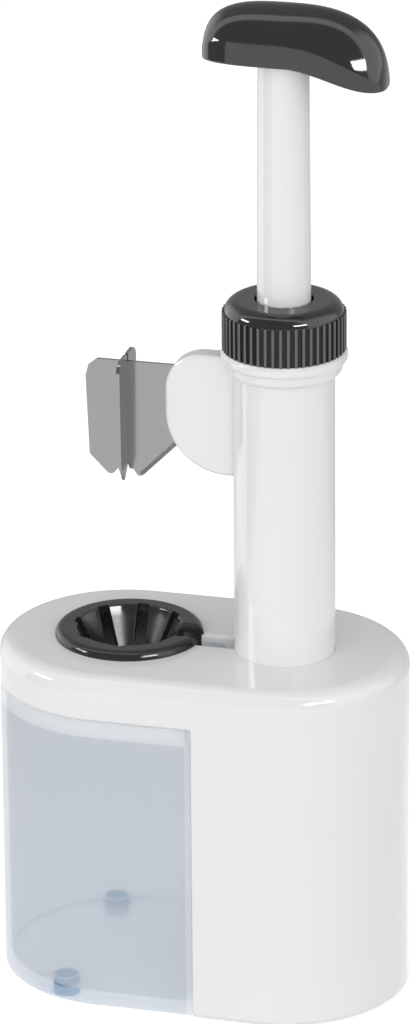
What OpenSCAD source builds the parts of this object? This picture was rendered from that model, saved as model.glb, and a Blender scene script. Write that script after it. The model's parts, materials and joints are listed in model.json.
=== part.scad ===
/* [Base] */
// Length of the base, along X
base_len = 120; // [110:1:140]
// Width of the base, along Y
base_w = 72; // [66:1:84]
// Height of the housing shell
base_h = 102.6; // [95:0.1:115]
// Wall of the housing
wall = 2.4; // [1.8:0.1:3]
// Rounding of the housing's top edge
top_edge_r = 5; // [4:0.5:8]
// Gap between the housing's lower edge and the table
foot_gap = 1; // [0.5:0.1:2]
// Radius of a soft foot
foot_r = 3.9; // [3:0.1:4.2]

/* [Stone bin] */
// X of the bin's flat side
bin_side_x = 5; // [2:0.5:6]
// Height of the bin's rim above its lower edge
bin_h = 89.6; // [80:0.1:92]
// Wall of the bin
bin_wall = 1.6; // [1.2:0.1:2.2]
// Height of the bin floor's underside above the lower edge
bin_floor_rise = 2; // [1.5:0.1:4]
// Depth of the housing lip that reaches into the bin's mouth
lip_depth = 5; // [3:0.1:7]
// Gap between the bin and the housing
bin_gap = 0.4; // [0.3:0.05:0.8]
// How far the bin pulls out
bin_travel = 70; // [66:1:90]

/* [Column] */
// X of the column's axis
column_x = 24; // [22:0.5:26]
// Outer radius of the tube at the housing top
column_r = 14.55; // [14.3:0.05:15]
// Outer radius of the tube under its collar
column_top_r = 14.4; // [14.2:0.05:14.6]
// Radius of the tube's bore
bore_r = 12; // [11.5:0.1:12.4]
// Rise of the column from the housing top to the cap
column_rise = 91.6; // [85:0.1:100]
// Radius of the collar
collar_r = 18; // [17.8:0.1:19]
// Radius of the neck inside the cap
neck_r = 15.5; // [15:0.1:15.6]
// Width of the arm's slot in the tube and the housing top
slot_w = 7.4; // [7:0.1:9]

/* [Screw cap] */
// Outer radius of the cap over its ribs
cap_r = 17.6; // [17:0.1:18]
// Height of the cap
cap_h = 14.8; // [12:0.1:16]
// Rounding of the cap's top edge
cap_edge_r = 4; // [3:0.1:5]
// Thickness of the cap's top
cap_top = 4; // [3:0.1:5]
// Radius of the hole for the rod
cap_hole_r = 8.4; // [8.2:0.1:9]
// Number of ribs round the cap
rib_count = 50; // [40:1:60]
// Width of one rib
rib_w = 1; // [0.8:0.1:1.3]
// How far the ribs stand proud
rib_h = 0.6; // [0.4:0.05:0.8]

/* [Plunger] */
// Visible length of the rod at rest
rod_rise = 70.1; // [68.5:0.1:90]
// Radius of the rod above the carriage
rod_r = 7.7; // [7.2:0.05:8]
// Radius of the rod below the knob
rod_top_r = 7.2; // [7:0.05:7.6]
// Stroke of the plunger
stroke = 62; // [50:0.5:64]
// Length of the knob, along X
knob_len = 52.2; // [48:0.1:60]
// Width of the knob, along Y
knob_w = 21; // [17:0.5:24]
// Height of the knob above its underside
knob_h = 16.1; // [14.5:0.1:20]
// How far the knob reaches past the rod's axis, towards the fruit seat
knob_reach = 22.6; // [18:0.1:26]
// How far the knob's tail droops
knob_droop = 6.2; // [4:0.1:6.5]

/* [Arm and blades] */
// Thickness of the arm
arm_t = 6.5; // [5.5:0.1:6.6]
// Height of the arm
arm_h = 36; // [34:0.5:38]
// Distance from the collar's top down to the arm's top
arm_drop = 3.2; // [2:0.1:5]
// Reach of the arm from the column's axis
arm_reach = 34.2; // [33:0.1:36]
// Thickness of the blades
blade_t = 1; // [0.8:0.1:1.4]
// Height of the blades
blade_h = 34.7; // [32:0.1:36]
// How far the blade tips hang below the arm
blade_drop = 3.3; // [2:0.1:4]
// Reach of the main blade past the fruit seat's axis
blade_reach = 11.9; // [10:0.1:12.5]
// Half width of the cross blade
wing_reach = 9; // [8:0.1:10]

/* [Fruit seat] */
// X of the fruit seat's axis
seat_x = -22.3; // [-24:0.1:-21]
// Outer radius of the rim
rim_r = 21.5; // [20.5:0.1:22.5]
// Height of the rim above the housing top
rim_h = 2.5; // [2:0.1:3.5]
// Radius of the mouth
mouth_r = 15.1; // [14.5:0.1:15.5]
// Radius of the throat between the finger tips
throat_r = 8; // [7:0.1:9]
// Depth of the seat from the rim's top to the finger tips
seat_depth = 15.5; // [14:0.1:16]
// Thickness of a finger
finger_t = 1.8; // [1.4:0.1:2.2]
// Number of finger slots, one of them the split
finger_slots = 8; // [8:4:8]
// Width of a finger slot
finger_slot_w = 3.6; // [3:0.1:4]

/* [Return spring] */
// Number of turns
spring_turns = 24; // [16:1:28]
// Diameter of the wire
wire_d = 1.4; // [1:0.1:1.8]
// Radius of the coil at the middle of the wire
coil_r = 10; // [9.4:0.1:10.4]

/* [Hidden] */
$fn = 96;

white = "#ececea";
black = "#3c3c3e";
steel = "#9a9a9a";
bluish = "#c3cad3";
foot_blue = "#8fb0d0";

// Clearances: a cut reaches past a face, a seated fit, a running fit and a loose gap
past = 1;
seat_fit = 0.02;
run_fit = 0.1;
loose_gap = 0.3;

// Levels of the base
base_z = foot_gap;
top_z = base_z + base_h;
end_r = base_w / 2;
end_x = (base_len - base_w) / 2;
bin_rim_z = base_z + bin_h;
skirt_z = bin_rim_z + bin_gap;
lip_z = skirt_z - lip_depth - bin_gap;
side_wall_z = lip_z - 2 * bin_gap;
partition_x = bin_side_x + bin_gap;

// Bottom cover, and what stands on it
cover_rise = 3;
cover_t = 2.5;
cover_z = base_z + cover_rise;
cover_top_z = cover_z + cover_t;
post_r = 3.5;
post_h = 14;
post_x = 13;
screw_r = 1.4;
screw_head_r = 2.8;
screw_head_h = 1.8;
screw_len = 12;

// Feet sit on a circle inside the round end
foot_circle_r = end_r - wall - foot_r - loose_gap;
foot_angle = 68;
foot_dx = end_x + foot_circle_r * cos(foot_angle);
foot_dy = foot_circle_r * sin(foot_angle);
foot_stem_r = 2;
foot_head_r = foot_r;
foot_head_h = 1;
foot_dish = 0.6;
foot_dish_r = foot_head_r - 0.8;

// Column, from the cover up to the neck
column_floor_t = 3;
column_floor_z = cover_top_z + column_floor_t;
collar_z = top_z + column_rise;
collar_h = 3.4;
collar_step_h = 3.5;
collar_step_r = collar_r - 1.4;
collar_chamfer = 0.8;
neck_top_gap = 0.5;
sleeve_depth = 25;
sleeve_wall = 2.2;
boss_r = 6;
boss_h = 12;
column_screw_r = 2.4;
column_screw_head_r = 4.4;
column_screw_head_h = 2;
washer_r = 6;
washer_t = 0.9;

// Screw cap
cap_seat_gap = 0.2;
cap_z = collar_z + cap_seat_gap;
cap_top_z = collar_z + cap_h;
cap_under_z = cap_top_z - cap_top;
cap_bore_r = neck_r + loose_gap;
cap_body_r = cap_r - rib_h;
rib_top_z = cap_top_z - 3.4;

// Arm and carriage
arm_top_z = collar_z - arm_drop;
arm_z = arm_top_z - arm_h;
arm_left_x = column_x - arm_reach;
arm_top_corner_r = 11;
arm_low_corner_r = 18;
arm_edge_r = 1.2;
piston_r = bore_r - run_fit;
piston_top_z = cap_under_z - bin_gap;
slot_floor_z = arm_z - stroke - 1.5;
slot_edge_r = 1.2;

// Return spring, from the column floor to the carriage, and the spigot inside its coil
spring_z = column_floor_z;
spring_len = arm_z - spring_z;
spring_sides = 6;
spring_steps = 8;
spigot_r = coil_r * cos(180 / spring_steps) - wire_d / 2 - loose_gap;
spigot_h = 5;

// Rod and knob
knob_z = cap_top_z + rod_rise;
rod_socket_depth = 20;
rod_foot_z = piston_top_z - rod_socket_depth;
rod_foot_r = rod_r - 0.1;
rod_hollow_r = 5;
rod_tip_r = rod_top_r - 0.2;
knob_socket_depth = 8;
rod_web = 5;
pin_r = 1.5;
pin_z = piston_top_z - rod_socket_depth / 2;
knob_screw_r = 1.8;
knob_screw_head_r = 3.6;
knob_screw_head_h = 2.4;
knob_screw_bite = 4.5;

// Blades, measured from their lowest tips
blade_z = arm_z - blade_drop;
blade_taper = 0.9;
lobe_x = 4.8;
lobe_r = 1.4;
notch_h = 4.8;
corner_cut = 3.4;
wing_lobe_x = 4.6;
wing_lobe_r = 0.3;
wing_rise = 1.9;
wing_corner_r = 3.5;
tang_lobe_x = 4;
tang_slant_x = 16;
tang_x = 24;
interlock_h = 20;
bevel_w = 1.3;
bevel_depth = 0.7 * blade_t;

// Fruit seat
seat_tip_z = top_z + rim_h - seat_depth;
rim_edge_r = 2.4;
rim_t = 2.2;
rim_overhang = 0.6;
mouth_edge_r = 0.6;
slot_notch = 1.1;
split_edge_r = 1.8;
seat_hole_r = rim_r - rim_overhang;
sleeve_t = 1.6;
sleeve_h = seat_depth - rim_h;

// Points on an arc about a centre
function arc(centre, r, from, to, steps = 8) =
    [for (i = [0 : steps]) let (a = from + (to - from) * i / steps) centre + r * [cos(a), sin(a)]];

// Outline of the base, moved inwards by an inset
module base_outline(inset = 0) {
    r = end_r - inset;
    square([2 * end_x, 2 * r], center = true);
    for (side = [-1, 1])
        translate([side * end_x, 0])
            circle(r);
}

// Half section of a block with a rounded top edge
module edge_section(r, h, edge) {
    square([r - edge, h]);
    square([r, h - edge]);
    translate([r - edge, h - edge])
        intersection() {
            circle(edge);
            square(edge);
        }
}

// Base outline raised to a height, with a rounded top edge
module domed_base(inset, h, edge) {
    r = end_r - inset;
    for (side = [-1, 1])
        translate([side * end_x, 0, 0])
            rotate_extrude()
                edge_section(r, h, edge);
    for (turn = [0, 1])
        mirror([0, turn, 0])
            translate([end_x, 0, 0])
                rotate([90, 0, -90])
                    linear_extrude(2 * end_x)
                        mirror([1, 0])
                            edge_section(r, h, edge);
}

// Upright ring of the base outline between two insets
module base_ring(outer, inner, h) {
    linear_extrude(h)
        difference() {
            base_outline(outer);
            base_outline(inner);
        }
}

// Block that covers everything left of an X
module left_of(x, z, h) {
    translate([x - 2 * base_len, -base_len, z])
        cube([2 * base_len, 2 * base_len, h]);
}

// Section of a slot for the arm: straight walls, and rounded edges where it opens at a top level
module slot_section(low, top, edge) {
    half = slot_w / 2;
    polygon(concat(
        [[-half, low], [half, low]],
        arc([half + edge, top - edge], edge, 180, 90),
        [[half + edge, top + past], [-half - edge, top + past]],
        arc([-half - edge, top - edge], edge, 90, 0)
    ));
}

// Slot for the arm, along X from the fruit seat's axis
module arm_slot(len, low, top, edge) {
    rotate([90, 0, 90])
        linear_extrude(len)
            slot_section(low, top, edge);
}

module screw_posts() {
    for (side = [-1, 1])
        translate([post_x, side * (end_r - wall - post_r + 0.4), 0])
            children();
    translate([end_x + end_r - wall - post_r + 0.4, 0, 0])
        children();
}

module housing_shell() {
    difference() {
        translate([0, 0, base_z])
            domed_base(0, base_h, top_edge_r);
        translate([0, 0, base_z - past])
            domed_base(wall, base_h - wall + past, top_edge_r - wall / 2);
        left_of(partition_x, base_z - past, skirt_z - base_z + past);
    }
}

// Lip that the bin's rim reaches over, with a small catch on each side
module bin_lip() {
    lip_t = 1.6;
    lip_inset = bin_wall + bin_gap;
    catch_len = 5.6;
    catch_h = 2;
    catch_x = -13;
    intersection() {
        translate([0, 0, lip_z])
            base_ring(lip_inset, lip_inset + lip_t, top_z - wall - lip_z);
        left_of(bin_side_x - bin_wall, lip_z, base_h);
    }
    for (side = [-1, 1])
        translate([catch_x, side * (end_r - lip_inset), lip_z + lip_depth - catch_h])
            cube([catch_len, bin_gap, catch_h], center = true);
}

module partition() {
    intersection() {
        translate([0, 0, base_z])
            domed_base(wall / 2, base_h - wall / 2, top_edge_r - wall / 4);
        translate([partition_x, -base_w, base_z])
            cube([wall, 2 * base_w, base_h]);
    }
}

module column_sleeve() {
    translate([column_x, 0, top_z - wall - sleeve_depth])
        cylinder(r = column_r + sleeve_wall, h = sleeve_depth + wall / 2);
}

module housing() {
    color(white)
        difference() {
            union() {
                housing_shell();
                bin_lip();
                partition();
                column_sleeve();
                screw_posts()
                    translate([0, 0, cover_top_z])
                        cylinder(r = post_r, h = post_h);
            }
            translate([column_x, 0, base_z])
                cylinder(r = column_r + seat_fit, h = base_h + past);
            translate([seat_x, 0, lip_z])
                cylinder(r = seat_hole_r, h = base_h);
            translate([seat_x, 0, 0])
                arm_slot(column_x - seat_x, slot_floor_z, top_z, slot_edge_r);
            screw_posts()
                translate([0, 0, cover_top_z])
                    cylinder(r = screw_r + seat_fit, h = screw_len);
        }
}

// Soft foot: a pad under a plate, a stem through it and a dished head on top
module foot(x, y, plate_z, plate_t) {
    color(foot_blue)
        translate([x, y, 0]) {
            cylinder(r = foot_r, h = plate_z);
            cylinder(r = foot_stem_r, h = plate_z + plate_t);
            translate([0, 0, plate_z + plate_t])
                difference() {
                    cylinder(r = foot_head_r, h = foot_head_h);
                    translate([0, 0, foot_head_h - foot_dish])
                        cylinder(r = foot_dish_r, h = foot_dish + past);
                }
        }
}

module base_foot_front() foot(foot_dx, -foot_dy, cover_z, cover_t);
module base_foot_rear() foot(foot_dx, foot_dy, cover_z, cover_t);
module bin_foot_front() foot(-foot_dx, -foot_dy, base_z + bin_floor_rise, bin_wall);
module bin_foot_rear() foot(-foot_dx, foot_dy, base_z + bin_floor_rise, bin_wall);

module foot_holes(side, z, t) {
    for (y = [-foot_dy, foot_dy])
        translate([side * foot_dx, y, z - past])
            cylinder(r = foot_stem_r + seat_fit, h = t + 2 * past);
}

module bottom_cover() {
    ring_h = 8;
    color(white)
        difference() {
            union() {
                translate([0, 0, cover_z])
                    linear_extrude(cover_t)
                        base_outline(wall + loose_gap);
                translate([column_x, 0, cover_z])
                    cylinder(r = column_r + sleeve_wall, h = cover_t + ring_h);
            }
            left_of(partition_x + wall + loose_gap, cover_z - past, base_h);
            translate([column_x, 0, cover_top_z])
                cylinder(r = column_r + loose_gap, h = ring_h + past);
            translate([column_x, 0, cover_z - past])
                cylinder(r = column_screw_r + seat_fit, h = cover_t + 2 * past);
            screw_posts()
                translate([0, 0, cover_z - past])
                    cylinder(r = screw_r + seat_fit, h = cover_t + 2 * past);
            foot_holes(1, cover_z, cover_t);
        }
}

// Screw with a flat head below and its shank pointing up from z
module screw(head_r, head_h, r, len) {
    translate([0, 0, -head_h])
        cylinder(r = head_r, h = head_h);
    cylinder(r = r, h = len);
}

module cover_screws() {
    color(steel)
        screw_posts()
            translate([0, 0, cover_z])
                screw(screw_head_r, screw_head_h, screw_r, screw_len);
}

module column_screw() {
    color(steel)
        translate([column_x, 0, cover_z - washer_t])
            screw(column_screw_head_r, column_screw_head_h, column_screw_r, screw_len + washer_t);
}

module column_washer() {
    color(steel)
        translate([column_x, 0, cover_z - washer_t])
            difference() {
                cylinder(r = washer_r, h = washer_t);
                translate([0, 0, -past])
                    cylinder(r = column_screw_r + seat_fit, h = washer_t + 2 * past);
            }
}

// Half section of the column: drafted tube, two collar steps with rounded undersides, chamfer, neck
module column_section() {
    neck_z = cap_under_z - neck_top_gap;
    flange_z = collar_z - collar_h;
    step_z = flange_z - collar_step_h;
    flange_edge_r = collar_r - collar_step_r;
    step_edge_r = collar_step_r - column_top_r - 0.2;
    polygon(concat(
        [[0, cover_top_z], [column_r, cover_top_z], [column_r, top_z], [column_top_r, step_z]],
        arc([collar_step_r - step_edge_r, step_z + step_edge_r], step_edge_r, -90, 0, 6),
        [[collar_step_r, flange_z]],
        arc([collar_r - flange_edge_r, flange_z + flange_edge_r], flange_edge_r, -90, 0, 6),
        [[collar_r, collar_z - collar_chamfer], [collar_r - collar_chamfer, collar_z]],
        [[neck_r, collar_z], [neck_r, neck_z]],
        [[bore_r, neck_z], [bore_r, column_floor_z], [0, column_floor_z]]
    ));
}

module column_tube() {
    color(white)
        translate([column_x, 0, 0])
            difference() {
                union() {
                    rotate_extrude()
                        column_section();
                    translate([0, 0, cover_top_z])
                        cylinder(r = boss_r, h = column_floor_t + boss_h);
                }
                translate([seat_x - column_x, -slot_w / 2, slot_floor_z])
                    cube([column_x - seat_x, slot_w, cap_top_z]);
                translate([0, 0, cover_top_z - past])
                    cylinder(r = column_screw_r + seat_fit, h = screw_len - cover_t + past);
            }
}

// Half section of the fruit seat: rounded rim, sloping fingers, sleeve in the housing's hole
module seat_section() {
    slope = (mouth_r - throat_r) / seat_depth;
    finger_w = finger_t * sqrt(1 + slope * slope);
    tip = rim_h - seat_depth;
    under = rim_h - rim_t;
    sleeve_r = seat_hole_r - seat_fit;
    polygon(concat(
        [[throat_r, tip], [throat_r + finger_w, tip], [throat_r + finger_w + slope * (under - tip), under]],
        [[sleeve_r - sleeve_t, under], [sleeve_r - sleeve_t, -sleeve_h], [sleeve_r, -sleeve_h], [sleeve_r, 0]],
        [[rim_r, 0]],
        arc([rim_r - rim_edge_r, rim_h - rim_edge_r], rim_edge_r, 0, 90),
        arc([mouth_r + mouth_edge_r, rim_h - mouth_edge_r], mouth_edge_r, 90, 155, 4)
    ));
}

// Fruit seat: slots part the fingers and nick the rim's inner edge, the round-edged split lets the arm through
module fruit_seat() {
    color(black)
        translate([seat_x, 0, top_z])
            difference() {
                rotate_extrude()
                    seat_section();
                for (i = [1 : finger_slots - 1])
                    rotate(i * 360 / finger_slots)
                        translate([0, -finger_slot_w / 2, -seat_depth])
                            cube([mouth_r + slot_notch, finger_slot_w, seat_depth + rim_h + past]);
                arm_slot(rim_r + past, -seat_depth, rim_h, split_edge_r);
            }
}

// Middle line of the spring: a straight start, even turns, a straight end
function spring_line() =
    let (rise = wire_d, climb = spring_len - 2 * rise, last = spring_turns * spring_steps)
    concat(
        [[coil_r, 0, spring_z]],
        [for (i = [0 : last])
            let (a = 360 * i / spring_steps)
            [coil_r * cos(a), coil_r * sin(a), spring_z + rise + climb * i / last]],
        [[coil_r, 0, spring_z + spring_len]]
    );

function unit(v) = v / norm(v);

// Ring of points about a point of the line; the first and last rings lie flat
function spring_ring(line, i) =
    let (
        last = len(line) - 1,
        ahead = i == 0 || i == last ? [0, 0, 1] : unit(line[i + 1] - line[i - 1]),
        out = unit([line[i].x, line[i].y, 0]),
        up = unit(cross(ahead, out)),
        side = cross(up, ahead)
    )
    [for (k = [0 : spring_sides - 1])
        let (a = 360 * k / spring_sides)
        line[i] + wire_d / 2 * (cos(a) * side + sin(a) * up)];

// Least gap between neighbouring turns, measured on the points of the line
function turn_gap(line) =
    min([for (i = [1 : len(line) - spring_steps - 2]) norm(line[i + spring_steps] - line[i])]) - wire_d;

module return_spring() {
    line = spring_line();
    count = len(line);
    points = [for (i = [0 : count - 1]) each spring_ring(line, i)];
    n = spring_sides;
    walls = [for (i = [0 : count - 2]) for (k = [0 : n - 1])
        let (a = i * n + k, b = i * n + (k + 1) % n)
        each [[a, b, b + n], [a, b + n, a + n]]];
    start = [for (k = [1 : n - 2]) [0, k + 1, k]];
    end = [for (k = [1 : n - 2]) let (o = (count - 1) * n) [o, o + k, o + k + 1]];
    echo(spring_turn_gap_mm = turn_gap(line));
    color(steel)
        translate([column_x, 0, 0])
            polyhedron(points, concat(walls, start, end), convexity = 10);
}

// Half section of the cap's outside, over the ribs or over the body
module cap_outside(r) {
    translate([0, cap_z])
        edge_section(r, cap_top_z - cap_z, cap_edge_r);
}

module screw_cap() {
    color(black)
        translate([column_x, 0, 0])
            difference() {
                union() {
                    rotate_extrude()
                        cap_outside(cap_body_r);
                    intersection() {
                        rotate_extrude()
                            cap_outside(cap_r);
                        for (i = [0 : rib_count - 1])
                            rotate(i * 360 / rib_count)
                                translate([cap_r - rib_w / 2, 0, cap_z])
                                    cylinder(r = rib_w / 2, h = rib_top_z - cap_z, $fn = 24);
                    }
                }
                translate([0, 0, cap_z - past])
                    cylinder(r = cap_bore_r, h = cap_under_z - cap_z + past);
                translate([0, 0, cap_z])
                    cylinder(r = cap_hole_r, h = cap_h + past);
            }
}

// Rod: seated foot, drafted length and a tip for the knob, hollow up to a web
module plunger_rod() {
    color(white)
        translate([column_x, 0, 0])
            difference() {
                union() {
                    translate([0, 0, rod_foot_z])
                        cylinder(r = rod_foot_r, h = rod_socket_depth);
                    translate([0, 0, piston_top_z])
                        cylinder(r1 = rod_r, r2 = rod_top_r, h = knob_z - piston_top_z);
                    translate([0, 0, knob_z])
                        cylinder(r = rod_tip_r, h = knob_socket_depth);
                }
                translate([0, 0, rod_foot_z - past])
                    cylinder(r = rod_hollow_r, h = knob_z - rod_web - rod_foot_z + past);
                cylinder(r = knob_screw_r + seat_fit, h = knob_z + knob_h);
                translate([0, 0, pin_z])
                    rotate([90, 0, 0])
                        cylinder(r = pin_r + seat_fit, h = 4 * rod_r, center = true);
            }
}

module rod_pin() {
    color(steel)
        translate([column_x, 0, pin_z])
            rotate([90, 0, 0])
                cylinder(r = pin_r, h = 2 * piston_r - 1, center = true);
}

module knob_screw() {
    color(steel)
        translate([column_x, 0, knob_z - rod_web])
            screw(knob_screw_head_r, knob_screw_head_h, knob_screw_r, rod_web + knob_socket_depth + knob_screw_bite);
}

// Knob: crest, underside and half width along its length, from 0 at the blunt end to 1 at the tail
function bulge(t, power) = pow(max(0, 1 - pow(abs(t), power)), 1 / power);
function ease(t) = t <= 0 ? 0 : t * t * (3 - 2 * t);
knob_peak = 0.47;
function knob_under(s) = -knob_droop * ease((s - knob_peak) / (1 - knob_peak));
function knob_crest(s) =
    s < knob_peak
    ? knob_h * bulge((knob_peak - s) / knob_peak, 3.2)
    : knob_h - (knob_h + knob_droop) * (1 - bulge((s - knob_peak) / (1 - knob_peak), 2.65));
function knob_half(s) = knob_w / 2 * bulge(2 * s - 1, 3.3);

// Cross section: upright wall below the shoulder, which sinks towards the tail, and a leaning dome above it
function knob_ring(s, steps) =
    let (
        x = column_x - knob_reach + knob_len * s,
        low = knob_under(s),
        high = knob_crest(s) - low,
        half = knob_half(s),
        shoulder = 0.48 - 0.35 * max(0, s - 0.45)
    )
    concat(
        [[x, half, knob_z + low]],
        [for (i = [0 : steps])
            let (a = 180 * i / steps, c = cos(a), d = sin(a))
            [x, half * c, knob_z + low + high * (shoulder + (1 - shoulder) * pow(d, 1.8))]],
        [[x, -half, knob_z + low]]
    );

module knob_solid() {
    stations = 36;
    steps = 20;
    n = steps + 3;
    end_share = 0.004;
    rings = [for (j = [0 : stations])
        let (s = end_share + (1 - 2 * end_share) * (1 - cos(180 * j / stations)) / 2)
        knob_ring(s, steps)];
    points = [for (ring = rings) each ring];
    walls = [for (j = [0 : stations - 1]) for (k = [0 : n - 1])
        let (a = j * n + k, b = j * n + (k + 1) % n)
        each [[a, b, b + n], [a, b + n, a + n]]];
    start = [for (k = [1 : n - 2]) [0, k + 1, k]];
    end = [for (k = [1 : n - 2]) let (o = stations * n) [o, o + k, o + k + 1]];
    polyhedron(points, concat(walls, start, end), convexity = 4);
}

module knob() {
    color(black)
        difference() {
            knob_solid();
            translate([column_x, 0, knob_z - knob_droop - past])
                cylinder(r = rod_top_r + run_fit, h = knob_droop + past);
            translate([column_x, 0, knob_z - past])
                cylinder(r = rod_tip_r + seat_fit, h = knob_socket_depth + past);
            translate([column_x, 0, knob_z])
                cylinder(r = knob_screw_r + seat_fit, h = knob_socket_depth + knob_screw_bite);
        }
}

// Quarter of a disc about a centre, in the quadrant that starts at an angle
module quarter_disc(centre, r, start) {
    translate(centre)
        rotate(start)
            intersection() {
                circle(r);
                square(r);
            }
}

// Outline of the arm in X and Z, moved inwards by an inset: two round corners of different radius
module arm_outline(inset = 0) {
    left = arm_left_x + inset;
    low = arm_z + inset;
    high = arm_top_z - inset;
    top_r = arm_top_corner_r - inset;
    low_r = arm_low_corner_r - inset;
    quarter_disc([left + top_r, high - top_r], top_r, 90);
    quarter_disc([left + low_r, low + low_r], low_r, 180);
    translate([left, low + low_r])
        square([column_x - left, high - top_r - low - low_r]);
    translate([left + top_r, high - top_r])
        square([column_x - left - top_r, top_r]);
    translate([left + low_r, low])
        square([column_x - left - low_r, low_r]);
}

// Round bars that follow the arm's outline and soften its edges
module arm_edges() {
    e = arm_edge_r;
    top_r = arm_top_corner_r;
    low_r = arm_low_corner_r;
    translate([arm_left_x + top_r, arm_top_z - e, 0])
        rotate([0, 90, 0])
            cylinder(r = e, h = column_x - arm_left_x - top_r);
    translate([arm_left_x + low_r, arm_z + e, 0])
        rotate([0, 90, 0])
            cylinder(r = e, h = column_x - arm_left_x - low_r);
    translate([arm_left_x + e, arm_z + low_r, 0])
        rotate([-90, 0, 0])
            cylinder(r = e, h = arm_h - low_r - top_r);
    translate([arm_left_x + top_r, arm_top_z - top_r, 0])
        rotate(90)
            rotate_extrude(angle = 90)
                translate([top_r - e, 0])
                    circle(e);
    translate([arm_left_x + low_r, arm_z + low_r, 0])
        rotate(180)
            rotate_extrude(angle = 90)
                translate([low_r - e, 0])
                    circle(e);
}

module arm() {
    flat = arm_t / 2 - arm_edge_r;
    rotate([90, 0, 0]) {
        linear_extrude(2 * flat, center = true)
            arm_outline();
        linear_extrude(arm_t, center = true)
            arm_outline(arm_edge_r);
        for (side = [-1, 1])
            translate([0, 0, side * flat])
                arm_edges();
    }
}

module blade_carriage() {
    color(white)
        difference() {
            union() {
                arm();
                translate([column_x, 0, arm_z])
                    cylinder(r = piston_r, h = piston_top_z - arm_z);
                translate([column_x, 0, arm_z - spigot_h])
                    cylinder(r = spigot_r, h = spigot_h + past);
            }
            translate([column_x, 0, rod_foot_z])
                cylinder(r = rod_foot_r + seat_fit, h = rod_socket_depth + past);
            translate([column_x, 0, pin_z])
                rotate([90, 0, 0])
                    cylinder(r = pin_r + seat_fit, h = 3 * piston_r, center = true);
            main_blade_sheet(blade_t + 2 * seat_fit);
        }
}

// Round tip of a lobe at x, from the notch's side to where the 45 degree edge leaves it
function lobe(x, r) = arc([x, r], r, 225, 315, 6);

// Point on the 45 degree edge that leaves a lobe, at a given x
function slant_at(x, lobe_x, r) = [x, x - lobe_x - r * (sqrt(2) - 1)];

// One half of a blade's lower edge and outer side, out to a reach
function blade_half(reach, lobe_x, r) = concat(lobe(lobe_x, r), [slant_at(reach - blade_taper, lobe_x, r)]);

// The same points on the other side of the axis, in the opposite order
function other_side(points) = [for (i = [len(points) - 1 : -1 : 0]) [-points[i].x, points[i].y]];

module blade_outline_main() {
    slant_end = slant_at(tang_slant_x, tang_lobe_x, lobe_r);
    corner = [
        [blade_reach, blade_h - 1.6 * corner_cut],
        [blade_reach - 0.25 * corner_cut, blade_h - 0.6 * corner_cut],
        [blade_reach - corner_cut, blade_h]
    ];
    polygon(concat(
        [[0, notch_h]],
        lobe(tang_lobe_x, lobe_r),
        [slant_end, [tang_x, slant_end.y], [tang_x, blade_h]],
        other_side(concat(blade_half(blade_reach, lobe_x, lobe_r), corner))
    ));
}

// The cross blade stands higher than the main blade and has rounded top corners
module blade_outline_cross() {
    top = blade_h + wing_rise;
    half = concat(
        blade_half(wing_reach, wing_lobe_x, wing_lobe_r),
        arc([wing_reach - wing_corner_r, top - wing_corner_r], wing_corner_r, 0, 90)
    );
    polygon(concat([[0, notch_h]], half, other_side(half)));
}

// Cutter that grinds a bevel on one face of a sheet, along a 45 degree edge from a point
module ground_bevel(at) {
    angle = atan(bevel_depth / bevel_w);
    translate([at.x, at.y, blade_t / 2])
        rotate(45)
            translate([-past, bevel_w, 0])
                rotate([angle, 0, 0])
                    translate([0, -4 * bevel_w, 0])
                        cube([2 * tang_x, 4 * bevel_w, blade_t]);
}

module main_blade_sheet(t) {
    translate([seat_x, 0, blade_z])
        rotate([90, 0, 0])
            linear_extrude(t, center = true)
                blade_outline_main();
}

// Slot through which the crossing sheet passes
module interlock(z, h) {
    w = blade_t + 2 * seat_fit;
    translate([seat_x - w / 2, -w / 2, z])
        cube([w, w, h]);
}

module main_blade() {
    color(steel)
        difference() {
            main_blade_sheet(blade_t);
            interlock(blade_z - past, interlock_h + past);
            translate([seat_x, 0, blade_z])
                rotate([90, 0, 0])
                    intersection() {
                        ground_bevel(slant_at(tang_lobe_x, tang_lobe_x, lobe_r));
                        translate([tang_lobe_x, -past, -blade_t])
                            cube([tang_slant_x - tang_lobe_x - bevel_w, tang_x, 2 * blade_t]);
                    }
            translate([seat_x, 0, blade_z])
                rotate([90, 0, 180])
                    intersection() {
                        ground_bevel(slant_at(lobe_x, lobe_x, lobe_r));
                        translate([lobe_x, -past, -blade_t])
                            cube([tang_x, tang_x, 2 * blade_t]);
                    }
        }
}

module cross_blade() {
    color(steel)
        difference() {
            translate([seat_x, 0, blade_z])
                rotate([90, 0, 90])
                    linear_extrude(blade_t, center = true)
                        blade_outline_cross();
            interlock(blade_z + interlock_h, blade_h);
            for (turn = [90, -90])
                translate([seat_x, 0, blade_z])
                    rotate([90, 0, turn])
                        intersection() {
                            ground_bevel(slant_at(wing_lobe_x, wing_lobe_x, wing_lobe_r));
                            translate([wing_lobe_x, -past, -blade_t])
                                cube([tang_x, tang_x, 2 * blade_t]);
                        }
        }
}

module stone_bin() {
    floor_z = base_z + bin_floor_rise;
    color(bluish)
        difference() {
            intersection() {
                translate([0, 0, base_z])
                    linear_extrude(bin_h)
                        base_outline();
                left_of(bin_side_x, base_z - past, bin_h + 2 * past);
            }
            intersection() {
                translate([0, 0, floor_z + bin_wall])
                    linear_extrude(bin_h)
                        base_outline(bin_wall);
                left_of(bin_side_x - bin_wall, floor_z, 2 * bin_h);
            }
            intersection() {
                translate([0, 0, base_z - past])
                    linear_extrude(bin_floor_rise + past)
                        base_outline(bin_wall);
                left_of(bin_side_x - bin_wall, base_z - past, bin_h);
            }
            translate([bin_side_x - bin_wall - past, bin_wall - end_r, side_wall_z])
                cube([bin_wall + 2 * past, base_w - 2 * bin_wall, bin_h]);
            foot_holes(-1, floor_z, bin_wall);
        }
}

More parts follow.
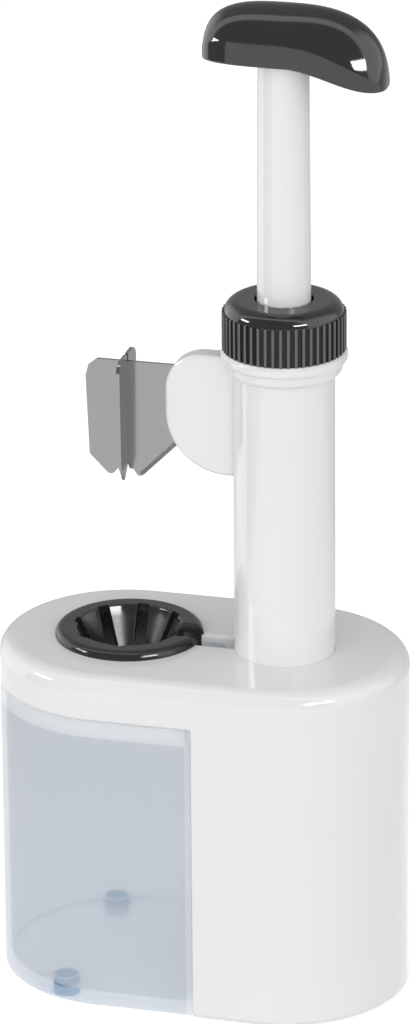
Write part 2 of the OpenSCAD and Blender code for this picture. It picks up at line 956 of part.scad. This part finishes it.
housing();
bottom_cover();
cover_screws();
base_foot_front();
base_foot_rear();
column_tube();
column_screw();
column_washer();
fruit_seat();
return_spring();
screw_cap();
knob();
knob_screw();
plunger_rod();
rod_pin();
blade_carriage();
main_blade();
cross_blade();
stone_bin();
bin_foot_front();
bin_foot_rear();
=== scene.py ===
import json

import bpy
import numpy as np
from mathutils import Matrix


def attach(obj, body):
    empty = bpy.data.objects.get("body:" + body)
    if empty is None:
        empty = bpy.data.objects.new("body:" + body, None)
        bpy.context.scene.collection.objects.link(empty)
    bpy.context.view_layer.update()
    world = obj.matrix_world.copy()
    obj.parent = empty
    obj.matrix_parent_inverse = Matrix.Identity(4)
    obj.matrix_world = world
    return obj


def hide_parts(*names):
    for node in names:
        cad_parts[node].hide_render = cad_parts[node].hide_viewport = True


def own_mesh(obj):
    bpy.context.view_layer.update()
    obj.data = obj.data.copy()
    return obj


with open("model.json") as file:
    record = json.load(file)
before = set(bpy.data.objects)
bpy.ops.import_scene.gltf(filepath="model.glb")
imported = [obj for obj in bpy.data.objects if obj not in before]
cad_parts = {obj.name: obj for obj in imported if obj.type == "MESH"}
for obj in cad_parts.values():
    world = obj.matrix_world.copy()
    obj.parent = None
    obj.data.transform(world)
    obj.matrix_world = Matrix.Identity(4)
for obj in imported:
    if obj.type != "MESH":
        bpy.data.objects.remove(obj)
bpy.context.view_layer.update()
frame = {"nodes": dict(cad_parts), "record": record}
scene = bpy.context.scene
MM = 0.001

# Sizes that the finishes and the new pieces share with the solids, in millimetres.
# KNOB_PEAK, KNOB_SHOULDER and the SHOULDER values are shares of the knob's length or height.
COLUMN_X = 24.0
CAP_R, RIB_TOP_Z = 17.6, 206.6
SEAT_RIM_Z = 105.0
BIN_LIP_Z, BIN_SIDE_X, BIN_FLOOR_Z = 85.6, 5.0, 4.6
FOOT_RIM_Z = 5.6
KNOB_Z = 280.1
KNOB_LEN, KNOB_W, KNOB_H = 52.2, 21.0, 16.1
KNOB_REACH, KNOB_DROOP = 22.6, 6.2
KNOB_EDGE, KNOB_PEAK = 0.9, 0.47
KNOB_SHOULDER, SHOULDER_FALL, SHOULDER_FROM = 0.48, 0.35, 0.45
NOSE_POWER, TAIL_POWER, SIDE_POWER, DOME_POWER = 3.2, 2.65, 3.3, 1.8
COIL_R, WIRE_D, TURNS = 10.0, 1.4, 24
SPRING_LOW, SPRING_HIGH, STROKE = 9.5, 156.0, 62.0

# Fineness of the new pieces
KNOB_RINGS, DOME_POINTS, EDGE_POINTS, FLOOR_POINTS = 160, 81, 9, 11
TURN_STEPS, WIRE_SIDES = 32, 12

# Camera: degrees, millimetres, and a lens given in pixels of a picture that is PICTURE_H high
CAMERA_TURN, CAMERA_TILT, CAMERA_ROLL = 14.913, 21.696, -0.445
CAMERA_AWAY, AIM_Z, AIM_RIGHT, AIM_UP = 1653.48, 151.0, 0.693, -7.291
LENS_PX, PICTURE_H, SENSOR = 5795.386, 1024, 36

# Floor, in metres: its corners, what it glows with, and where that fades for mirrors behind the part
FLOOR = [(-0.3, 6, 0), (-0.3, -0.38, 0), (-4.7, -6, 0), (6, -6, 0), (6, 6, 0)]
FLOOR_GLOW, FLOOR_MIRRORED = 0.5, 0.65
FLOOR_FADE = 0.15, 0.35

# Light: the tent's soft light from the front, the back and the roof, and what mirrors see of it
SOFT_FRONT, SOFT_BACK, SOFT_ROOF = 1.78, 0.1, 1.35
SOFT_LEAN, SOFT_FALL, ROOF_POWER = -0.15, -0.84, 12.0
TENT_SIDE, TENT_BACK, TENT_OPENING, TENT_TURN = 1.7, 0.48, 0.3, np.radians(12)
OPENING_EDGE, HOOP_EDGE, SIDE_EDGE, SIDE_SHIFT = (-0.35, -0.29), (-0.13, -0.07), (0.6, 0.8), 0.12

# Lamps: place, width and height in millimetres, power in watts
LAMP_AIM = 0, 0, 150
LAMPS = {
    "soft_box_left": ((-1031, -417, 640), 380, 190, 5.7),
    "soft_box_right": ((855, -797, 740), 540, 190, 8.0),
}


def place_camera():
    """Camera turned round from the front, tilted down and rolled, far enough away for a long lens."""
    turn, tilt, roll = np.radians([CAMERA_TURN, CAMERA_TILT, CAMERA_ROLL])
    ahead = np.array([-np.sin(turn) * np.cos(tilt), np.cos(turn) * np.cos(tilt), -np.sin(tilt)])
    right = np.array([np.cos(turn), np.sin(turn), 0.0])
    up = np.cross(right, ahead)
    aim = np.array([0, 0, AIM_Z]) + AIM_RIGHT * right + AIM_UP * up
    rolled_right = np.cos(roll) * right + np.sin(roll) * up
    rolled_up = np.cos(roll) * up - np.sin(roll) * right
    place = np.eye(4)
    place[:3, :3] = np.column_stack([rolled_right, rolled_up, -ahead])
    place[:3, 3] = (aim - CAMERA_AWAY * ahead) * MM
    data = bpy.data.cameras.new("camera")
    data.sensor_fit = "VERTICAL"
    data.sensor_height = SENSOR
    data.lens = SENSOR * LENS_PX / PICTURE_H
    data.clip_start, data.clip_end = 0.05, 50
    camera = bpy.data.objects.new("camera", data)
    camera.matrix_world = [list(map(float, row)) for row in place.T]
    scene.collection.objects.link(camera)
    scene.camera = camera


place_camera()


def linear(code):
    """Linear red, green, blue and alpha of an sRGB hex colour."""
    c = np.array([int(code[i:i + 2], 16) for i in (1, 3, 5)]) / 255
    c = np.where(c <= 0.04045, c / 12.92, ((c + 0.055) / 1.055) ** 2.4)
    return (*map(float, c), 1.0)


def feed(tree, node, inputs):
    """Gives a node's sockets these values, or links them to these sockets."""
    for name, value in inputs.items():
        if isinstance(value, bpy.types.NodeSocket):
            tree.links.new(value, node.inputs[name])
        else:
            node.inputs[name].default_value = value


def add(tree, kind, inputs, **settings):
    """Adds a node with its settings, and feeds its inputs."""
    made = tree.nodes.new(kind)
    for name, value in settings.items():
        setattr(made, name, value)
    feed(tree, made, inputs)
    return made


def new_finish(name):
    """A material with one Principled shader; returns it, its tree and its shader."""
    finish = bpy.data.materials.new(name)
    finish.use_nodes = True
    return finish, finish.node_tree, finish.node_tree.nodes["Principled BSDF"]


def object_place(tree):
    """X, Y and Z of a point in Object coordinates, in metres."""
    place = add(tree, "ShaderNodeTexCoord", {}).outputs["Object"]
    return add(tree, "ShaderNodeSeparateXYZ", {0: place}).outputs


def grain(tree, size_mm, detail=2.0, stretch=(1, 1, 1)):
    """Noise on Object coordinates whose lumps are about size_mm across, stretched along each axis."""
    place = add(tree, "ShaderNodeTexCoord", {}).outputs["Object"]
    mapped = add(tree, "ShaderNodeMapping", {"Vector": place, "Scale": stretch}).outputs["Vector"]
    return add(tree, "ShaderNodeTexNoise",
               {"Vector": mapped, "Scale": 1 / (size_mm * MM), "Detail": detail}).outputs["Fac"]


def mottled(tree, first, second, size_mm):
    """A colour that wanders between two hex colours in lumps of size_mm."""
    return add(tree, "ShaderNodeMix", {0: grain(tree, size_mm), 6: linear(first), 7: linear(second)},
               data_type="RGBA").outputs[2]


def uneven(tree, low, high, size_mm):
    """A value that wanders from low to high in lumps of size_mm, as the noise goes from 0.3 to 0.7."""
    return add(tree, "ShaderNodeMapRange", {
        "Value": grain(tree, size_mm), "From Min": 0.3, "From Max": 0.7,
        "To Min": low, "To Max": high}).outputs["Result"]


def moulded_white():
    """White ABS, injection moulded in a polished tool: even and bright, with small clear highlights
    and eased edges."""
    finish, tree, shader = new_finish("abs_white_glossy_moulded")
    feed(tree, shader, {
        "IOR": 1.54,
        "Base Color": mottled(tree, "#EDEDEE", "#EAEAEB", 30),
        "Roughness": uneven(tree, 0.07, 0.11, 12),
        "Normal": add(tree, "ShaderNodeBevel", {"Radius": 0.4 * MM}, samples=6).outputs["Normal"],
    })
    return finish


def moulded_black():
    """Black ABS from a polished tool: deep, with sharp highlights, eased edges and a faint cloudiness."""
    finish, tree, shader = new_finish("abs_black_polished_moulded")
    feed(tree, shader, {
        "IOR": 1.6,
        "Base Color": mottled(tree, "#242426", "#29292B", 18),
        "Roughness": uneven(tree, 0.05, 0.08, 8),
        "Normal": add(tree, "ShaderNodeBevel", {"Radius": 0.35 * MM}, samples=6).outputs["Normal"],
    })
    return finish


def seat_black():
    """Black ABS of the fruit seat: a polished rim that mirrors the lamps as spots, above duller fingers
    with a soft sheen."""
    finish, tree, shader = new_finish("abs_black_satin_moulded")
    dull = add(tree, "ShaderNodeMapRange", {
        "Value": object_place(tree)["Z"], "From Min": (SEAT_RIM_Z - 2) * MM, "From Max": SEAT_RIM_Z * MM,
        "To Min": 0.27, "To Max": 0.1}).outputs["Result"]
    varied = uneven(tree, 0.85, 1.15, 5)
    feed(tree, shader, {
        "IOR": 1.5,
        "Base Color": mottled(tree, "#242425", "#2B2B2C", 18),
        "Roughness": add(tree, "ShaderNodeMath", {0: dull, 1: varied}, operation="MULTIPLY").outputs[0],
        "Normal": add(tree, "ShaderNodeBevel", {"Radius": 0.35 * MM}, samples=6).outputs["Normal"],
    })
    return finish


def ribbed_black():
    """Black ABS of the screw cap: polished like the knob on top, with duller grooves, and rib crests
    painted paler grey as a painted sheen where they catch light."""
    finish, tree, shader = new_finish("abs_black_polished_ribs_painted_sheen")
    place = add(tree, "ShaderNodeTexCoord", {}).outputs["Object"]
    off_axis = add(tree, "ShaderNodeMapping", {
        "Vector": place, "Location": (-COLUMN_X * MM, 0, 0), "Scale": (1, 1, 0)}).outputs["Vector"]
    radius = add(tree, "ShaderNodeVectorMath", {0: off_axis}, operation="LENGTH").outputs["Value"]
    # Painted sheen: rib crests beyond CAP_R - 0.3 mm get a pale grey colour in place of the light they catch,
    # and a rougher finish.
    crest_sheen = add(tree, "ShaderNodeMapRange", {
        "Value": radius, "From Min": (CAP_R - 0.3) * MM, "From Max": (CAP_R - 0.15) * MM}).outputs["Result"]
    gloss = add(tree, "ShaderNodeMapRange", {
        "Value": object_place(tree)["Z"], "From Min": (RIB_TOP_Z - 0.3) * MM, "From Max": RIB_TOP_Z * MM,
        "To Min": 0.15, "To Max": 0.5}).outputs["Result"]
    tone = add(tree, "ShaderNodeMix", {0: crest_sheen, 6: linear("#242426"), 7: linear("#68686A")},
               data_type="RGBA")
    rough = add(tree, "ShaderNodeMapRange", {"Value": crest_sheen, "To Min": 0.07, "To Max": 0.35})
    feed(tree, shader, {
        "IOR": 1.6,
        "Base Color": tone.outputs[2],
        "Roughness": rough.outputs["Result"],
        "Specular IOR Level": gloss,
        "Normal": add(tree, "ShaderNodeBevel", {"Radius": 0.1 * MM}, samples=6).outputs["Normal"],
    })
    return finish


def clear_bluish():
    """Milky polypropylene, moulded thin: each wall is a pale blue haze that lets the feet show through.
    The lip, the side edge and, in part, the level floor are painted paler: painted light for the lit
    white lip behind the wall, for light along the side edge and for lifted shade on the floor.
    Shadow rays pass nearly free."""
    finish, tree, shader = new_finish("polypropylene_bluish_translucent_moulded")
    place = object_place(tree)
    # Painted light: the masks lip, side and low paint the haze paler where the white lip behind the wall, the
    # side edge and the level floor should show lit.
    lip = add(tree, "ShaderNodeMapRange", {
        "Value": place["Z"], "From Min": (BIN_LIP_Z - 0.15) * MM,
        "From Max": BIN_LIP_Z * MM}).outputs["Result"]
    side = add(tree, "ShaderNodeMapRange", {
        "Value": place["X"], "From Min": (BIN_SIDE_X - 1.7) * MM,
        "From Max": (BIN_SIDE_X - 1.5) * MM}).outputs["Result"]
    normal = add(tree, "ShaderNodeNewGeometry", {}).outputs["True Normal"]
    facing = add(tree, "ShaderNodeSeparateXYZ", {0: normal}).outputs["Z"]
    level = add(tree, "ShaderNodeMath", {0: facing}, operation="ABSOLUTE").outputs[0]
    low = add(tree, "ShaderNodeMapRange", {
        "Value": place["Z"], "From Min": (BIN_FLOOR_Z + 0.5) * MM, "From Max": (BIN_FLOOR_Z + 0.2) * MM,
        "To Max": 0.45}).outputs["Result"]
    low = add(tree, "ShaderNodeMath", {0: low, 1: level}, operation="MULTIPLY").outputs[0]
    painted_pale = add(tree, "ShaderNodeMath", {0: lip, 1: side}, operation="MAXIMUM").outputs[0]
    painted_pale = add(tree, "ShaderNodeMath", {0: painted_pale, 1: low}, operation="MAXIMUM").outputs[0]
    sheet = mottled(tree, "#D8DDE4", "#D2D9E2", 40)
    tone = add(tree, "ShaderNodeMix", {0: painted_pale, 6: sheet, 7: linear("#F4F7F9")}, data_type="RGBA").outputs[2]
    feed(tree, shader, {
        "IOR": 1.49,
        "Base Color": tone,
        "Roughness": uneven(tree, 0.12, 0.18, 10),
        "Specular IOR Level": 1.0,
        "Normal": add(tree, "ShaderNodeBevel", {"Radius": 0.4 * MM}, samples=6).outputs["Normal"],
    })
    through = add(tree, "ShaderNodeBsdfTranslucent", {"Color": tone}).outputs[0]
    haze = add(tree, "ShaderNodeMixShader", {0: 0.5, 1: shader.outputs[0], 2: through}).outputs[0]
    shade = add(tree, "ShaderNodeLightPath", {}).outputs["Is Shadow Ray"]
    cover = add(tree, "ShaderNodeMapRange", {
        "Value": shade, "To Min": 0.42, "To Max": 0.06}).outputs["Result"]
    clear = add(tree, "ShaderNodeBsdfTransparent", {}).outputs[0]
    both = add(tree, "ShaderNodeMixShader", {0: cover, 1: clear, 2: haze}).outputs[0]
    feed(tree, tree.nodes["Material Output"], {"Surface": both})
    return finish


def soft_silicone():
    """Blue silicone, pressed in a mould: soft, slightly see-through, with a dull sheen. Its thin top rim
    is painted nearly white as a painted highlight."""
    finish, tree, shader = new_finish("silicone_blue_pressed")
    # Painted highlight: the thin top rim of each foot, above FOOT_RIM_Z - 0.2 mm, is painted nearly white.
    rim = add(tree, "ShaderNodeMapRange", {
        "Value": object_place(tree)["Z"], "From Min": (FOOT_RIM_Z - 0.2) * MM,
        "From Max": (FOOT_RIM_Z - 0.1) * MM}).outputs["Result"]
    pad = mottled(tree, "#56A8DC", "#4A9CD2", 3)
    tone = add(tree, "ShaderNodeMix", {0: rim, 6: pad, 7: linear("#E6F2FA")}, data_type="RGBA").outputs[2]
    feed(tree, shader, {
        "IOR": 1.41,
        "Transmission Weight": 0.1,
        "Base Color": tone,
        "Roughness": uneven(tree, 0.35, 0.5, 2),
    })
    return finish


def blade_sheet():
    """Stainless sheet, cold rolled and polished: grey mirror with faint upright lines along the rolling
    direction. They are about 0.5 mm apart, coarser than real ones, so that they show."""
    finish, tree, shader = new_finish("stainless_sheet_rolled_polished")
    lines = grain(tree, 0.5, 3.0, (1, 1, 0.02))
    rough = add(tree, "ShaderNodeMapRange", {
        "Value": lines, "From Min": 0.3, "From Max": 0.7, "To Min": 0.12, "To Max": 0.18})
    rolled = add(tree, "ShaderNodeBump", {"Height": lines, "Strength": 0.06, "Distance": 0.05 * MM})
    feed(tree, shader, {
        "Metallic": 1.0,
        "Base Color": mottled(tree, "#979698", "#8F8E90", 9),
        "Roughness": rough.outputs["Result"],
        "Normal": rolled.outputs["Normal"],
    })
    return finish


def drawn_wire():
    """Spring steel wire, hard drawn: bright grey with an uneven sheen, in lumps of 0.6 mm that are coarser
    than real die lines, so that they show."""
    finish, tree, shader = new_finish("spring_steel_wire_drawn")
    feed(tree, shader, {
        "Metallic": 1.0,
        "Base Color": mottled(tree, "#B4B3B0", "#A2A19F", 4),
        "Roughness": uneven(tree, 0.2, 0.32, 0.6),
    })
    return finish


def zinc_plate():
    """Zinc plated steel screws: pale grey with a cloudy sheen."""
    finish, tree, shader = new_finish("steel_zinc_plated")
    feed(tree, shader, {
        "Metallic": 1.0,
        "Base Color": mottled(tree, "#C2C3C4", "#AEB0B2", 2),
        "Roughness": uneven(tree, 0.28, 0.42, 1),
    })
    return finish


FINISHES = {
    "white_plastic": moulded_white(),
    "black_plastic": moulded_black(),
    "bin_plastic": clear_bluish(),
    "blue_silicone": soft_silicone(),
    "blade_steel": blade_sheet(),
    "spring_steel": drawn_wire(),
    "screw_steel": zinc_plate(),
}
for subpart in frame["record"]["subparts"]:
    mesh = frame["nodes"][subpart["node"]].data
    mesh.materials.clear()
    mesh.materials.append(FINISHES[subpart["material_slot"]])
frame["nodes"]["screw_cap"].data.materials[0] = ribbed_black()
frame["nodes"]["fruit_seat"].data.materials[0] = seat_black()


def grid_faces(rows, columns):
    """Quads between the points of a rows by columns grid whose rows close on themselves."""
    r = np.arange(rows - 1)[:, None] * columns
    c = np.arange(columns)[None, :]
    n = (c + 1) % columns
    corners = np.broadcast_arrays(r + c, r + n, r + columns + n, r + columns + c)
    return np.stack(corners, axis=-1).reshape(-1, 4)


def make_piece(name, rings, slot, body, *nodes):
    """A closed tube of rings with a fan at each end, in millimetres, that stands for these nodes
    and rides on their body."""
    rows, columns = rings.shape[:2]
    ends = rings[[0, -1]].mean(1)
    points = np.concatenate([rings.reshape(-1, 3), ends]) * MM
    k = np.arange(columns)
    n = (k + 1) % columns
    start = (rows - 1) * columns
    first = np.column_stack([n, k, np.full(columns, rows * columns)])
    last = np.column_stack([start + k, start + n, np.full(columns, rows * columns + 1)])
    faces = grid_faces(rows, columns).tolist() + first.tolist() + last.tolist()
    mesh = bpy.data.meshes.new(name)
    mesh.from_pydata(points.tolist(), [], faces)
    mesh.polygons.foreach_set("use_smooth", np.ones(len(mesh.polygons), bool))
    mesh.materials.append(FINISHES[slot])
    mesh.update()
    piece = bpy.data.objects.new(name, mesh)
    scene.collection.objects.link(piece)
    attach(piece, body)
    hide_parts(*nodes)
    return piece


def bulge(t, power):
    """Superellipse quarter: 1 at t = 0, falling to 0 at t = 1."""
    return np.clip(1 - np.abs(t) ** power, 0, None) ** (1 / power)


def knob_rings():
    """Rings across the knob at s from 0 to 1 along it, closer together at both ends. Crest and half width
    are superellipse quarters of s, and the underside droops as a smooth step. Each ring runs over a dome
    whose height is a power of a sine, down a wall, round a small edge and back underneath. The dome's
    shoulder sinks towards the tail."""
    s = (1 - np.cos(np.pi * np.linspace(0.012, 0.988, KNOB_RINGS))) / 2
    tail = np.clip((s - KNOB_PEAK) / (1 - KNOB_PEAK), 0, 1)
    nose = np.clip((KNOB_PEAK - s) / KNOB_PEAK, 0, 1)
    under = -KNOB_DROOP * tail ** 2 * (3 - 2 * tail)
    fall = KNOB_H - (KNOB_H + KNOB_DROOP) * (1 - bulge(tail, TAIL_POWER))
    crest = np.where(s < KNOB_PEAK, KNOB_H * bulge(nose, NOSE_POWER), fall)
    half = KNOB_W / 2 * bulge(2 * s - 1, SIDE_POWER)
    high = crest - under
    a = np.radians(np.linspace(0, 180, DOME_POINTS))
    b = np.radians(np.linspace(180, 270, EDGE_POINTS))
    edge = np.minimum(KNOB_EDGE, 0.3 * np.minimum(half, high))[:, None]
    top_y = half[:, None] * np.cos(a)
    shoulder = KNOB_SHOULDER - SHOULDER_FALL * np.clip(s - SHOULDER_FROM, 0, None)
    top_z = (under + high * shoulder)[:, None] + (high * (1 - shoulder))[:, None] * np.sin(a) ** DOME_POWER
    low_y = -half[:, None] + edge * (1 + np.cos(b))
    low_z = under[:, None] + edge * (1 + np.sin(b))
    floor = np.linspace(-1, 1, FLOOR_POINTS + 2)[None, 1:-1]
    floor_y = floor * (half[:, None] - edge)
    floor_z = np.repeat(under[:, None], FLOOR_POINTS, 1)
    y = np.concatenate([top_y, low_y, floor_y, -low_y[:, ::-1]], 1)
    z = np.concatenate([top_z, low_z, floor_z, low_z[:, ::-1]], 1)
    x = np.repeat((COLUMN_X - KNOB_REACH + KNOB_LEN * s)[:, None], y.shape[1], 1)
    return np.stack([x, y, KNOB_Z + z], -1)


def spring_rings():
    """Rings of a round wire along a helix: a circle of radius COIL_R whose height grows evenly with the
    turn. Each ring is a circle across the wire, spanned by the outward direction and by its cross product
    with the wire's direction."""
    turn = np.linspace(0, 2 * np.pi * TURNS, TURNS * TURN_STEPS + 1)
    x, y = COIL_R * np.cos(turn), COIL_R * np.sin(turn)
    z = np.linspace(SPRING_LOW + WIRE_D, SPRING_HIGH - WIRE_D, len(turn))
    line = np.stack([x, y, z], -1)
    ahead = np.gradient(line, axis=0)
    ahead /= np.linalg.norm(ahead, axis=1, keepdims=True)
    out = np.stack([np.cos(turn), np.sin(turn), 0 * turn], -1)
    up = np.cross(ahead, out)
    a = np.linspace(0, 2 * np.pi, WIRE_SIDES + 1)[:-1]
    ring = np.cos(a)[None, :, None] * out[:, None] + np.sin(a)[None, :, None] * up[:, None]
    rings = line[:, None] + WIRE_D / 2 * ring
    return rings + np.array([COLUMN_X, 0, 0])


make_piece("knob_grip", knob_rings(), "black_plastic", "plunger", "knob")
spring = make_piece("spring_wire", spring_rings(), "spring_steel", "base", "return_spring")
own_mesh(spring)


def lay_floor():
    """A wide pale floor that ends at the left, where mirrors see the tent instead. Camera and clear plastic
    see it with a glow that makes it white round a soft shadow. Mirrors see another glow, which fades out
    behind the part."""
    finish = bpy.data.materials.new("floor_paper_white")
    finish.use_nodes = True
    tree = finish.node_tree
    tree.nodes.clear()
    ray = add(tree, "ShaderNodeLightPath", {}).outputs
    seen = add(tree, "ShaderNodeMath", {0: ray["Is Camera Ray"], 1: ray["Is Glossy Ray"]},
               operation="MAXIMUM").outputs[0]
    seen = add(tree, "ShaderNodeMath", {0: seen, 1: ray["Is Transmission Ray"]},
               operation="MAXIMUM").outputs[0]
    mirrored = add(tree, "ShaderNodeMapRange", {
        "Value": object_place(tree)["Y"], "From Min": FLOOR_FADE[0], "From Max": FLOOR_FADE[1],
        "To Min": FLOOR_MIRRORED, "To Max": 0.0}).outputs["Result"]
    level = add(tree, "ShaderNodeMix", {0: ray["Is Glossy Ray"], 2: FLOOR_GLOW, 3: mirrored}).outputs[0]
    paper = add(tree, "ShaderNodeBsdfDiffuse", {"Color": linear("#EDEDED")}).outputs[0]
    glow = add(tree, "ShaderNodeEmission", {"Color": (1, 1, 1, 1), "Strength": level}).outputs[0]
    both = add(tree, "ShaderNodeAddShader", {0: paper, 1: glow}).outputs[0]
    mixed = add(tree, "ShaderNodeMixShader", {0: seen, 1: paper, 2: both}).outputs[0]
    add(tree, "ShaderNodeOutputMaterial", {"Surface": mixed})
    mesh = bpy.data.meshes.new("floor")
    mesh.from_pydata(FLOOR, [], [list(range(len(FLOOR)))])
    mesh.materials.append(finish)
    floor = bpy.data.objects.new("floor", mesh)
    scene.collection.objects.link(floor)


def light_world():
    """A light tent that is open at the front. Its soft light is front * (1 + SOFT_FALL * height^2)
    + SOFT_ROOF * height^ROOF_POWER, where front falls evenly from SOFT_FRONT to SOFT_BACK. Mirrors see its
    lit hoop and sides, its dimmer back and the dark opening, turned a little about the vertical. The camera
    and clear plastic see plain white."""
    world = bpy.data.worlds.new("studio")
    scene.world = world
    world.use_nodes = True
    tree = world.node_tree
    ray = add(tree, "ShaderNodeLightPath", {}).outputs
    about = add(tree, "ShaderNodeTexCoord", {}).outputs["Generated"]
    way = add(tree, "ShaderNodeSeparateXYZ", {0: about}).outputs
    lean = add(tree, "ShaderNodeMath", {0: way["X"], 1: SOFT_LEAN, 2: way["Y"]},
               operation="MULTIPLY_ADD").outputs[0]
    front = add(tree, "ShaderNodeMapRange", {
        "Value": lean, "From Min": -1.0, "To Min": SOFT_FRONT, "To Max": SOFT_BACK}).outputs["Result"]
    height = add(tree, "ShaderNodeMath", {0: way["Z"], 1: 2.0}, operation="POWER").outputs[0]
    fall = add(tree, "ShaderNodeMath", {0: height, 1: SOFT_FALL, 2: 1.0}, operation="MULTIPLY_ADD").outputs[0]
    soft = add(tree, "ShaderNodeMath", {0: front, 1: fall}, operation="MULTIPLY").outputs[0]
    roof = add(tree, "ShaderNodeMath", {0: way["Z"], 1: ROOF_POWER}, operation="POWER").outputs[0]
    soft = add(tree, "ShaderNodeMath", {0: roof, 1: SOFT_ROOF, 2: soft}, operation="MULTIPLY_ADD").outputs[0]
    turned = add(tree, "ShaderNodeVectorRotate", {"Vector": about, "Angle": TENT_TURN},
                 rotation_type="Z_AXIS").outputs[0]
    tent_way = add(tree, "ShaderNodeSeparateXYZ", {0: turned}).outputs
    opening = add(tree, "ShaderNodeMapRange", {
        "Value": tent_way["Y"], "From Min": OPENING_EDGE[0], "From Max": OPENING_EDGE[1],
        "To Min": TENT_OPENING, "To Max": TENT_SIDE}).outputs["Result"]
    hoop = add(tree, "ShaderNodeMapRange", {
        "Value": tent_way["Y"], "From Min": HOOP_EDGE[0], "From Max": HOOP_EDGE[1],
        "To Min": TENT_SIDE, "To Max": TENT_BACK}).outputs["Result"]
    aside = add(tree, "ShaderNodeMath", {0: tent_way["X"], 1: SIDE_SHIFT}, operation="ADD").outputs[0]
    aside = add(tree, "ShaderNodeMath", {0: aside}, operation="ABSOLUTE").outputs[0]
    sides = add(tree, "ShaderNodeMapRange", {
        "Value": aside, "From Min": SIDE_EDGE[0], "From Max": SIDE_EDGE[1],
        "To Min": TENT_BACK, "To Max": TENT_SIDE}).outputs["Result"]
    walls = add(tree, "ShaderNodeMath", {0: hoop, 1: sides}, operation="MAXIMUM").outputs[0]
    tent = add(tree, "ShaderNodeMath", {0: opening, 1: walls}, operation="MINIMUM").outputs[0]
    lit = add(tree, "ShaderNodeMix", {0: ray["Is Glossy Ray"], 2: soft, 3: tent}).outputs[0]
    clear = add(tree, "ShaderNodeMath", {0: ray["Is Camera Ray"], 1: ray["Is Transmission Ray"]},
                operation="MAXIMUM").outputs[0]
    seen = add(tree, "ShaderNodeMix", {0: clear, 2: lit, 3: 1.0}).outputs[0]
    feed(tree, tree.nodes["Background"], {"Color": (1, 1, 1, 1), "Strength": seen})


def add_lamp(name, place, wide, tall, power):
    """A soft box at a place, turned to LAMP_AIM, that shows as highlights and adds no soft light."""
    data = bpy.data.lights.new(name, "AREA")
    data.shape = "RECTANGLE"
    data.size, data.size_y = wide * MM, tall * MM
    data.energy = power
    lamp = bpy.data.objects.new(name, data)
    back = np.array(place, float) - np.array(LAMP_AIM, float)
    back /= np.linalg.norm(back)
    side = np.cross([0, 0, 1.0], back)
    side /= np.linalg.norm(side)
    turn = np.eye(4)
    turn[:3, :3] = np.column_stack([side, np.cross(back, side), back])
    turn[:3, 3] = np.array(place) * MM
    lamp.matrix_world = [list(map(float, row)) for row in turn.T]
    lamp.visible_diffuse = False
    scene.collection.objects.link(lamp)


lay_floor()
light_world()
for name, (place, wide, tall, power) in LAMPS.items():
    add_lamp(name, place, wide, tall, power)
scene.view_settings.view_transform = "Standard"
